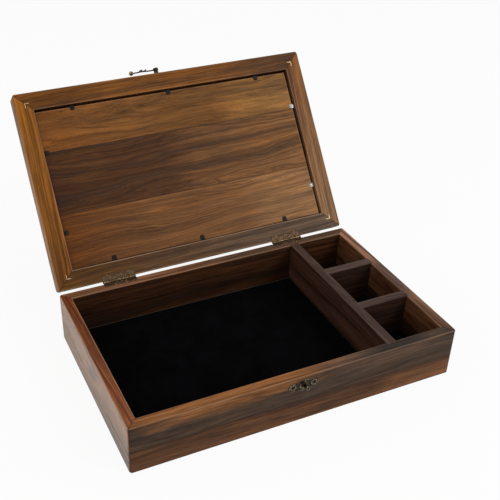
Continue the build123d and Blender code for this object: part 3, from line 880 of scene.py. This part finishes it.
stud = unit("catch_knob")
waist = [(STUD_NECK + 0.5, 0.7), (STUD_NECK + 0.15, 1.2), (STUD_NECK, 2.0)]
waist += [(STUD_NECK, STUD_TOP - 2.0), (STUD_NECK + 0.3, STUD_TOP - 1.5)]
head = mushroom(STUD_HEAD, STUD_TOP - STUD_DOME, STUD_TOP)
stud.data = lathe([(0, 0), (STUD_NECK + 0.5, 0), *waist, *head])
mark_raised(stud.data, lambda at: 0.3 if at.z > STUD_TOP - 1.1 else 0.0)
stud.data.transform(facing(0.0, STUD_Z))
mount(stud, "base", "antique_bronze", "catch_stud")

HOOK_X, HOOK_RISE = -4.6, 7.4  # the rivet, sideways and above the lid's underside
RIVET_TOP = HOOK_OUT + HOOK_T + HOOK_PLAY + RIVET_DOME
rivet = unit("latch_pivot")
foot = rounded(RIVET_SHOULDER, 0.0, HOOK_OUT - HOOK_PLAY)
neck = [(RIVET_NECK, HOOK_OUT - HOOK_PLAY), (RIVET_NECK, RIVET_TOP - RIVET_DOME)]
head = mushroom(RIVET_HEAD, RIVET_TOP - RIVET_DOME, RIVET_TOP)
rivet.data = lathe([(0, 0), *foot, *neck, *head])
rivet.data.transform(facing(HOOK_X, LID_Z + HOOK_RISE))
mount(rivet, "lid", "antique_bronze", "latch_rivet")

# %% [markdown]
# ## The cast hook
# The hook is cast, so it has no sharp edge anywhere. It is laid out as flattened beads along its
# lines: a ring round the rivet, a slightly bowed arm, the crescent that takes the knob, and a tail
# with a ball to push it by. A voxel remesh melts the beads into one skin, and smoothing takes the
# steps out of it.

# %% Cast hook
EYE_MID, EYE_W = 2.18, 2.0  # middle radius and width of the ring round the rivet
WAIST = (1.5, -16.2)  # where the arm meets the crescent
SEAT, SEAT_MID = (4.6, -16.2), 3.1  # middle of the crescent, and its middle radius
ARM_W, TIP_W = 2.4, 1.9  # widths of the arm, and of the tail and the crescent's tips
MOUTH = (15.9, 52.0)  # the crescent's way in: its direction, and half its opening, in degrees
BALL_AT, BALL_R = (0.25, -28.2), 2.4
HOOK_MID = HOOK_OUT + HOOK_T / 2
VOXEL = 0.16


def arc(centre, radius, start, end, count=18):
    """Points on an arc, angles in degrees."""
    angles = [math.radians(start + (end - start) * i / count) for i in range(count + 1)]
    return [(centre[0] + radius * math.cos(a), centre[1] + radius * math.sin(a)) for a in angles]


def bowed(start, end, bow, count=16):
    """Points on a line that bows to the left by that much in its middle."""
    shares = [i / count for i in range(count + 1)]
    (x0, y0), (x1, y1) = start, end
    return [(x0 + (x1 - x0) * t - bow * math.sin(math.pi * t), y0 + (y1 - y0) * t) for t in shares]


def cast_hook():
    back, (way, half_open) = MOUTH[0] + 180, MOUTH
    lines = [
        (arc((0, 0), EYE_MID, 0, 360, 30), (EYE_W, EYE_W)),
        (bowed((0, -EYE_MID), WAIST, 1.0, 24), (ARM_W, ARM_W)),
        (bowed(WAIST, BALL_AT, 1.2, 20), (ARM_W, TIP_W)),
        (arc(SEAT, SEAT_MID, back, way + half_open), (ARM_W, TIP_W)),
        (arc(SEAT, SEAT_MID, back, way + 360 - half_open), (ARM_W, TIP_W)),
    ]
    build = bmesh.new()
    for spots, (first, last) in lines:
        for i, (x, y) in enumerate(spots):
            half = (first + (last - first) * i / (len(spots) - 1)) / 2
            bead = Matrix.Translation((x, y, HOOK_MID))
            bead @= Matrix.Diagonal((half, half, HOOK_T / 2, 1))
            bmesh.ops.create_icosphere(build, subdivisions=3, radius=1.0, matrix=bead)
    ball = Matrix.Translation((*BALL_AT, HOOK_MID))
    bmesh.ops.create_icosphere(build, subdivisions=4, radius=BALL_R, matrix=ball)
    hook = unit("hook_cast", build)
    melt = hook.modifiers.new("melt", "REMESH")
    melt.mode, melt.voxel_size = "VOXEL", VOXEL
    soften = hook.modifiers.new("soften", "SMOOTH")
    soften.factor, soften.iterations = 0.5, 4
    skin = frozen(hook)
    skin.shade_smooth()
    at_ball = Vector((*BALL_AT, HOOK_MID))
    mark_raised(skin, lambda at: 0.5 if (at - at_ball).length < BALL_R + 0.1 else 0.15)
    return mount(hook, "hook", "antique_bronze", "swing_hook")


cast_hook()

# %% [markdown]
# ## Stamped plates
# The catch and the latch stand on two small plates, pressed from thin sheet so that a rim, a ring
# round each screw and a boss in the middle stand up. The plate is a polar grid: rays from its middle
# reach to the outline, which is an ellipse with a round lobe at each end, and a formula lifts it.

# %% Stamped plates
PLATE_WAIST = (11.5, 6.2)  # half width and half height of the middle
PLATE_LOBE = 4.7  # radius of the lobe round a screw
PLATE_SCREW = 10.6  # from the middle to a screw
SHEET_T, SHEET_FLAT = 0.7, 0.42  # the pressed sheet with its relief, and where it is flat
PLATE_RELIEF, LEAF_RELIEF = 0.24, 0.26
PROUD_FROM = 0.46  # height from which the plating is rubbed
BEADS = 44  # little scallops round the rim


def outline(angle):
    """How far the plate's edge is from its middle, in that direction."""
    c, s = math.cos(angle), math.sin(angle)
    ellipse = 1 / math.sqrt((c / PLATE_WAIST[0]) ** 2 + (s / PLATE_WAIST[1]) ** 2)
    across = PLATE_LOBE**2 - (PLATE_SCREW * s) ** 2
    lobe = PLATE_SCREW * abs(c) + math.sqrt(across) if across > 0 else 0.0
    return max(ellipse, lobe)


def bump(value, middle, half):
    """A round bump of height 1 where value is near middle."""
    away = min(abs(value - middle) / half, 1.0)
    return (1 - away * away) ** 2


def relief(x, y, share, angle):
    """Height of the pressed sheet; share is 0 in the middle and 1 on the outline."""
    edge = outline(angle) * (1 - share)
    rim = bump(edge, 0.75, 0.65) * (0.75 + 0.25 * math.cos(BEADS * angle))
    screw = min(math.hypot(x - PLATE_SCREW, y), math.hypot(x + PLATE_SCREW, y))
    rings = bump(screw, 2.6, 0.55) + 0.8 * bump(math.hypot(x, y), 3.5, 0.6)
    hammered = 0.05 * math.sin(x * 2.1 + y) * math.sin(y * 2.7 - x * 0.6)
    raised = SHEET_FLAT + PLATE_RELIEF * max(rim, rings) + hammered
    return raised * rolled(edge, 0.4)


def plate(name, x, z, body, node, rays=176, rows=26):
    build = bmesh.new()
    hub = build.verts.new((0.0, 0.0, relief(0.0, 0.0, 0.0, 0.0)))
    rings = []
    for row in range(1, rows + 1):
        share = (row / rows) ** 0.8
        ring = []
        for ray in range(rays):
            angle = 2 * math.pi * ray / rays
            reach = outline(angle) * share
            px, py = reach * math.cos(angle), reach * math.sin(angle)
            ring.append(build.verts.new((px, py, relief(px, py, share, angle))))
        rings.append(ring)
    for i in range(rays):
        after = (i + 1) % rays
        build.faces.new((hub, rings[0][i], rings[0][after]))
        for inner, outer in zip(rings, rings[1:]):
            build.faces.new((inner[i], outer[i], outer[after], inner[after]))
    build.faces.new(list(reversed(rings[-1])))
    piece = unit(name, build)
    smooth(piece.data, 60.0)
    mark_raised(piece.data, lambda at: max(0.0, at.z - PROUD_FROM) * 4)
    piece.data.transform(facing(x, z))
    return mount(piece, body, "antique_bronze", node)


CATCH_Z = (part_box("catch_plate")[0].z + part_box("catch_plate")[1].z) / 2 / MM
LATCH_Z = LID_Z + 8.0
plate("catch_embossed", 0.0, CATCH_Z, "base", "catch_plate")
plate("latch_embossed", HOOK_X, LATCH_Z, "lid", "latch_plate")

# %% [markdown]
# ## Geometry Nodes for what repeats
# Screws, tabs and nails are each one shape in many places. A Geometry Nodes tree draws the shape
# once and puts it on every point of a bare mesh of points. `grow` makes such a tree from a function,
# gives the modifier its named inputs, and keeps the mesh that comes out. Each point carries the angle
# it is turned by, as an attribute that the tree reads by name.


# %% Growing pieces on points
def grow(name, places, draw, turns=None, marks=None, **given):
    """The mesh that a Geometry Nodes tree grows on points; `given` are its named inputs."""
    tree = bpy.data.node_groups.new(f"grow_{name}", "GeometryNodeTree")
    kinds = {int: "Int", float: "Float", bpy.types.Object: "Object", bpy.types.Material: "Material"}
    for way in ("INPUT", "OUTPUT"):
        tree.interface.new_socket("Geometry", in_out=way, socket_type="NodeSocketGeometry")
    keys = {}
    for label, value in given.items():
        kind = f"NodeSocket{kinds[type(value)]}"
        keys[label] = tree.interface.new_socket(label, in_out="INPUT", socket_type=kind).identifier
    graph = Graph(tree)
    entry = graph.node("NodeGroupInput")
    graph.node("NodeGroupOutput", None, {"Geometry": draw(graph, entry)})

    piece = unit(name)
    piece.data.from_pydata(places, [], [])
    none = [0.0] * len(places)
    for label, values in (("turn", turns or none), ("mark", marks or none)):
        piece.data.attributes.new(label, "FLOAT", "POINT").data.foreach_set("value", values)
    modifier = piece.modifiers.new("grow", "NODES")
    modifier.node_group = tree
    for label, value in given.items():
        modifier[keys[label]] = value
    smooth(frozen(piece))
    return piece


def attribute(graph, name):
    return graph.node("GeometryNodeInputNamedAttribute", {"data_type": "FLOAT"}, {"Name": name})


def realized(graph, instances, material):
    """Makes instances real geometry of one material."""
    real = graph.node("GeometryNodeRealizeInstances", None, {"Geometry": instances}, "Geometry")
    return graph.node("GeometryNodeSetMaterial", None, {"Geometry": real, "Material": material})


def on_points(graph, entry, shape, turn, material):
    """Puts a shape on every point, each turned about Z, and joins them to one mesh."""
    inputs = {"Points": entry.out("Geometry"), "Instance": shape}
    inputs["Rotation"] = graph.joined(0.0, 0.0, turn)
    return realized(graph, graph.node("GeometryNodeInstanceOnPoints", None, inputs), material)


def cube(graph, size, cuts=(2, 2, 2)):
    inputs = {"Size": size, "Vertices X": cuts[0], "Vertices Y": cuts[1], "Vertices Z": cuts[2]}
    return graph.node("GeometryNodeMeshCube", None, inputs, "Mesh")


def moved(graph, geometry, by=(0.0, 0.0, 0.0), turn=(0.0, 0.0, 0.0)):
    inputs = {"Geometry": geometry, "Translation": by, "Rotation": turn}
    return graph.node("GeometryNodeTransform", None, inputs)


print("ready to grow")

# %% [markdown]
# ## Hinges
# Each hinge has two leaves pressed with a scroll and a bead, and five knuckles rolled round the pin:
# three belong to the box's leaf and two to the lid's, so that they interleave. The leaf is a grid
# between its scalloped free edge and its back edge, which reaches under its own knuckles only. One
# tree sets the leaf and the knuckles out for both hinges; the lid's are the mirror image.

# %% Hinge sizes and relief
LEAF_L, LEAF_REACH, LEAF_CORNER = 35.0, 6.0, 2.4
SCALLOP_R, SCALLOP_X = 1.9, LEAF_L / 6
PITCH, KNUCKLE_R, PIN_R, KNUCKLE_GAP = LEAF_L / 5, 1.45, 0.75, 0.25
SCREW_X, SCREW_IN = 11.0, 3.3  # from a hinge's middle, and from the wood's back edge
HINGE_XS = [sum(corner.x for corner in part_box(f"hinge_pin_{side}")) / 2 / MM
            for side in ("left", "right")]
PIN_Y, PIN_Z = HINGE.y / MM, HINGE.z / MM
OWN_KNUCKLES = {"base": (-2, 0, 2), "lid": (-1, 1)}
COLUMNS, ROWS = 140, 30  # of a leaf's grid


def free_edge(x):
    """How far the leaf's free edge draws back at x: round corners and two scallops."""
    corner = max(0.0, abs(x) - (LEAF_L / 2 - LEAF_CORNER))
    back = LEAF_CORNER - math.sqrt(max(0.0, LEAF_CORNER**2 - corner**2))
    off = abs(abs(x) - SCALLOP_X)
    return max(back, math.sqrt(SCALLOP_R**2 - off**2) if off < SCALLOP_R else 0.0)


def leaf_height(x, inward, depth):
    """Height of the pressed leaf; inward is from its free edge, depth from the scallops' line."""
    bead = bump(min(inward, LEAF_L / 2 - abs(x)), 0.75, 0.45)
    ring = bump(math.hypot(abs(x) - SCREW_X, depth - (LEAF_REACH - SCREW_IN)), 2.35, 0.4)
    scroll = bump(depth, 3.9 + 0.9 * math.sin(x * 1.25), 0.5) if abs(x) < 8.0 else 0.0
    petal = bump(math.hypot(abs(x) - 2.6, depth - 2.3), 0.0, 0.9)
    return (SHEET_FLAT + LEAF_RELIEF * max(bead, ring, scroll, petal)) * rolled(inward, 0.3)


print("hinges at", [round(x, 1) for x in HINGE_XS])


# %% One hinge leaf
def leaf_blank(own):
    """One leaf round x = 0, lying on z = 0, its free edge towards -Y and the wood's edge at y = 0."""
    joints_at = [PITCH * (i + 0.5) for i in range(-3, 3)]
    xs = {round(-LEAF_L / 2 + LEAF_L * i / COLUMNS, 4) for i in range(COLUMNS + 1)}
    for off in (KNUCKLE_GAP / 2, KNUCKLE_GAP / 2 + 0.02):  # a crisp step on both sides of a gap
        xs |= {joint + side * off for joint in joints_at[1:-1] for side in (-1, 1)}
    build, columns = bmesh.new(), []
    for x in sorted(xs):
        under = any(abs(x - i * PITCH) <= (PITCH - KNUCKLE_GAP) / 2 + 1e-6 for i in own)
        start, end = -LEAF_REACH + free_edge(x), (0.45 if under else -0.3)
        column = []
        for row in range(ROWS):
            y = start + (end - start) * (row / (ROWS - 1)) ** 1.2
            height = leaf_height(x, y - start, y + LEAF_REACH)
            column.append(build.verts.new((x, y, height)))
        columns.append(column)
    feet = [(build.verts.new((*c[0].co.xy, 0.0)), build.verts.new((*c[-1].co.xy, 0.0)))
            for c in columns]
    for (a, b), (fa, fb) in zip(zip(columns, columns[1:]), zip(feet, feet[1:])):
        for i in range(ROWS - 1):
            build.faces.new((a[i], b[i], b[i + 1], a[i + 1]))
        build.faces.new((a[0], fa[0], fb[0], b[0]))
        build.faces.new((a[-1], b[-1], fb[1], fa[1]))
        build.faces.new((fa[0], fa[1], fb[1], fb[0]))
    build.faces.new([feet[0][0], *columns[0], feet[0][1]])
    build.faces.new([feet[-1][1], *reversed(columns[-1]), feet[-1][0]])
    bmesh.ops.remove_doubles(build, verts=build.verts, dist=1e-5)
    bmesh.ops.recalc_face_normals(build, faces=build.faces)
    leaf = unit("leaf_blank", build)
    mark_raised(leaf.data, lambda at: max(0.0, at.z - PROUD_FROM) * 2)
    return leaf


print("a leaf reaches", LEAF_REACH, "mm on to the wood")


# %% Leaves and knuckles of both hinges
def hinge_tree(graph, entry):
    parts, mark = [], attribute(graph, "mark")
    for label, chosen in (("Leaf", mark.below(0.5)), ("Knuckle", mark.above(0.5))):
        shape = graph.node("GeometryNodeObjectInfo", None, {"Object": entry.out(label)}, "Geometry")
        inputs = {"Points": entry.out("Geometry"), "Instance": shape, "Selection": chosen}
        if label == "Knuckle":
            inputs["Rotation"] = (0.0, math.pi / 2, 0.0)
        parts.append(graph.node("GeometryNodeInstanceOnPoints", None, inputs))
    both = graph.node("GeometryNodeJoinGeometry", None, {"Geometry": parts})
    return realized(graph, both, BRASS)


def hinge_leaves(body, place):
    own = OWN_KNUCKLES[body]
    knuckle = unit("knuckle_blank")
    half, edge = (PITCH - KNUCKLE_GAP) / 2, 0.2
    outside = [(KNUCKLE_R - edge, -half), (KNUCKLE_R, edge - half), (KNUCKLE_R, half - edge)]
    profile = [(PIN_R, -half), *outside, (KNUCKLE_R - edge, half), (PIN_R, half)]
    knuckle.data = lathe(profile, 28, hollow=True)
    mark_raised(knuckle.data, lambda at: 0.35)
    leaf = leaf_blank(own)
    points = [(x, BASE_D / 2, RIM) for x in HINGE_XS]
    points += [(x + i * PITCH, PIN_Y, PIN_Z) for x in HINGE_XS for i in own]
    marks = [0.0] * len(HINGE_XS) + [1.0] * (len(points) - len(HINGE_XS))
    piece = grow(f"hinge_leaves_{body}", points, hinge_tree, None, marks, Leaf=leaf, Knuckle=knuckle)
    for blank in (leaf, knuckle):
        bpy.data.objects.remove(blank)
    nodes = [f"hinge_{body}_leaf_{side}" for side in ("left", "right")]
    return mount(placed(piece, place), body, "antique_bronze", *nodes)


MIRROR = Matrix.Translation((0, 0, 2 * PIN_Z)) @ Matrix.Scale(-1, 4, (0, 0, 1))
hinge_leaves("base", Matrix.Identity(4))
hinge_leaves("lid", MIRROR)

# %% [markdown]
# ## Screws
# Twelve small slotted screws. Their blank is turned like the knob; the tree cuts the slot and gives
# each its own angle, because nobody lines screws up. The hinge screws sit flush, so that the leaves
# can close on each other, and the ones in the plates have low domes.

# %% Screws
HEAD_R, HEAD_DEEP, SHANK_R, SCREW_L = 1.95, 1.0, 1.0, 7.8
SLOT_L, SLOT_W, SLOT_DEEP = 6.0, 0.5, 0.8


def screw_tree(graph, entry):
    blank = graph.node("GeometryNodeObjectInfo", None, {"Object": entry.out("Blank")}, "Geometry")
    size = graph.joined(SLOT_L, entry.out("Slot"), SLOT_DEEP)
    slot = moved(graph, cube(graph, size), graph.joined(0.0, 0.0, entry.out("Dome")))
    settings = {"operation": "DIFFERENCE"}
    cut = graph.node("GeometryNodeMeshBoolean", settings, {"Mesh 1": blank, "Mesh 2": [slot]}, "Mesh")
    draw = {"Min_001": 0.0, "Max_001": math.pi, "Seed": entry.out("Seed")}
    turn = graph.node("FunctionNodeRandomValue", {"data_type": "FLOAT"}, draw)
    return on_points(graph, entry, cut, turn, entry.out("Finish"))


def screws(name, places, place, body, node, dome, seed, finish):
    """Slotted screws at flat places, heads up, then turned by `place` to where they stand."""
    blank = unit("screw_blank")
    head = [(HEAD_R * math.cos(a), dome * math.sin(a)) for a in quarter(5)]
    shank = [(HEAD_R, -0.15), (SHANK_R, -HEAD_DEEP), (SHANK_R, 1.0 - SCREW_L), (0.0, -SCREW_L)]
    blank.data = lathe([*reversed(shank), *head[:-1], (0.0, dome)], 24)
    given = dict(Blank=blank, Dome=dome, Slot=SLOT_W, Seed=seed, Finish=finish)
    piece = grow(name, places, screw_tree, **given)
    bpy.data.objects.remove(blank)
    return mount(placed(piece, place), body, "antique_bronze", node)


pairs = [(x + side * SCREW_X, BASE_D / 2 - SCREW_IN, RIM + SHEET_T)
         for x in HINGE_XS for side in (-1, 1)]
screws("screws_hinge_base", pairs, Matrix.Identity(4), "base", "hinge_base_screws", 0.0, 3, BRASS)
screws("screws_hinge_lid", pairs, MIRROR, "lid", "hinge_lid_screws", 0.0, 4, BRASS)
ends = [(side * PLATE_SCREW, 0.0, 0.0) for side in (-1, 1)]
screws("screws_catch", ends, facing(0.0, CATCH_Z, SHEET_T), "base", "catch_screws", 0.5, 8, BRONZE)
screws("screws_latch", ends, facing(HOOK_X, LATCH_Z, SHEET_T), "lid", "latch_screws", 0.5, 9, BRONZE)

# %% [markdown]
# ## Tabs that hold the panel
# Ten flat steel points are driven into the rails and bow down onto the panel's back. The tree bends
# a strip by a sine and narrows its free end. Two of them, on the right, have lost their black.

# %% Panel tabs
TAB_OUT, TAB_IN, TAB_W, TAB_T, TAB_TIP = 6.0, 7.0, 4.5, 0.5, 1.4
TAB_Z = LID_Z + PANEL_DEEP - TAB_T / 2
FRONT_X, BACK_X = (-105.5, 1.3, 106.6), (-99.5, -0.1, 99.7)
LEFT_Y, RIGHT_Y = (-38.5, 45.5), (-41.9, 50.3)


def tab_tree(graph, entry):
    length = TAB_OUT + TAB_IN
    strip = cube(graph, (length, TAB_W, TAB_T), (20, 7, 2))
    x, y, z = graph.parts(graph.node("GeometryNodeInputPosition"))
    tip = x.rise(length / 2 - TAB_TIP, length / 2)
    bow = graph.node("ShaderNodeMath", {"operation": "SINE"}, {0: x.most(0.0) * (math.pi / TAB_OUT)})
    bent = graph.joined(x, y * (1.0 - tip * entry.out("Taper")), z - bow * entry.out("Bow"))
    shaped = graph.node("GeometryNodeSetPosition", None, {"Geometry": strip, "Position": bent})
    centred = moved(graph, shaped, ((TAB_OUT - TAB_IN) / 2, 0.0, 0.0))
    black = on_points(graph, entry, centred, attribute(graph, "turn"), BLACK_STEEL)
    bare = attribute(graph, "mark").above(0.5)
    inputs = {"Geometry": black, "Selection": bare, "Material": GREY_STEEL}
    return graph.node("GeometryNodeSetMaterial", None, inputs)


edge_x, edge_y = LID_W / 2 - RAIL_W, PANEL_BACK
spots = [(x, -edge_y, TAB_Z, 90.0, 0.0) for x in FRONT_X]
spots += [(x, edge_y, TAB_Z, -90.0, 0.0) for x in BACK_X]
spots += [(-edge_x, y, TAB_Z, 0.0, 0.0) for y in LEFT_Y]
spots += [(edge_x, y, TAB_Z, 180.0, 1.0) for y in RIGHT_Y]
turns = [math.radians(spot[3]) for spot in spots]
marks = [spot[4] for spot in spots]
tabs = grow("steel_tabs", [s[:3] for s in spots], tab_tree, turns, marks, Taper=0.22, Bow=0.35)
mount(tabs, "lid", "black_steel", "panel_tabs")

# %% [markdown]
# ## Nails across the mitres
# Each corner of the lid is pinned by one V-shaped nail, pressed in flush. Its tree folds a thin
# strip at its middle to a right angle.

# %% V-nails
NAIL_IN, NAIL_ARM, NAIL_T, NAIL_DEEP = 10.6, 4.8, 0.6, 7.0


def nail_tree(graph, entry):
    thick = entry.out("Thickness")
    strip = cube(graph, graph.joined(2 * NAIL_ARM, thick, NAIL_DEEP), (3, 2, 2))
    along, off, z = graph.parts(graph.node("GeometryNodeInputPosition"))
    inward = off + thick * 0.5
    shorter = 1.0 - inward / NAIL_ARM  # the inner side of the fold is the shorter one
    x = along.most(0.0) * shorter + inward
    y = (along * -1.0).most(0.0) * shorter + inward
    folded = graph.joined(x, y, z + NAIL_DEEP / 2)
    nail = graph.node("GeometryNodeSetPosition", None, {"Geometry": strip, "Position": folded})
    return on_points(graph, entry, nail, attribute(graph, "turn"), BRIGHT_STEEL)


corners = [(-1, -1, 0.0), (1, -1, 90.0), (1, 1, 180.0), (-1, 1, 270.0)]
points = [(sx * (LID_W / 2 - NAIL_IN), sy * (BASE_D / 2 - NAIL_IN), LID_Z) for sx, sy, _ in corners]
turns = [math.radians(turn) for *_, turn in corners]
nails = grow("v_nails", points, nail_tree, turns, Thickness=NAIL_T)
mount(nails, "lid", "bright_steel", "corner_v_nails")
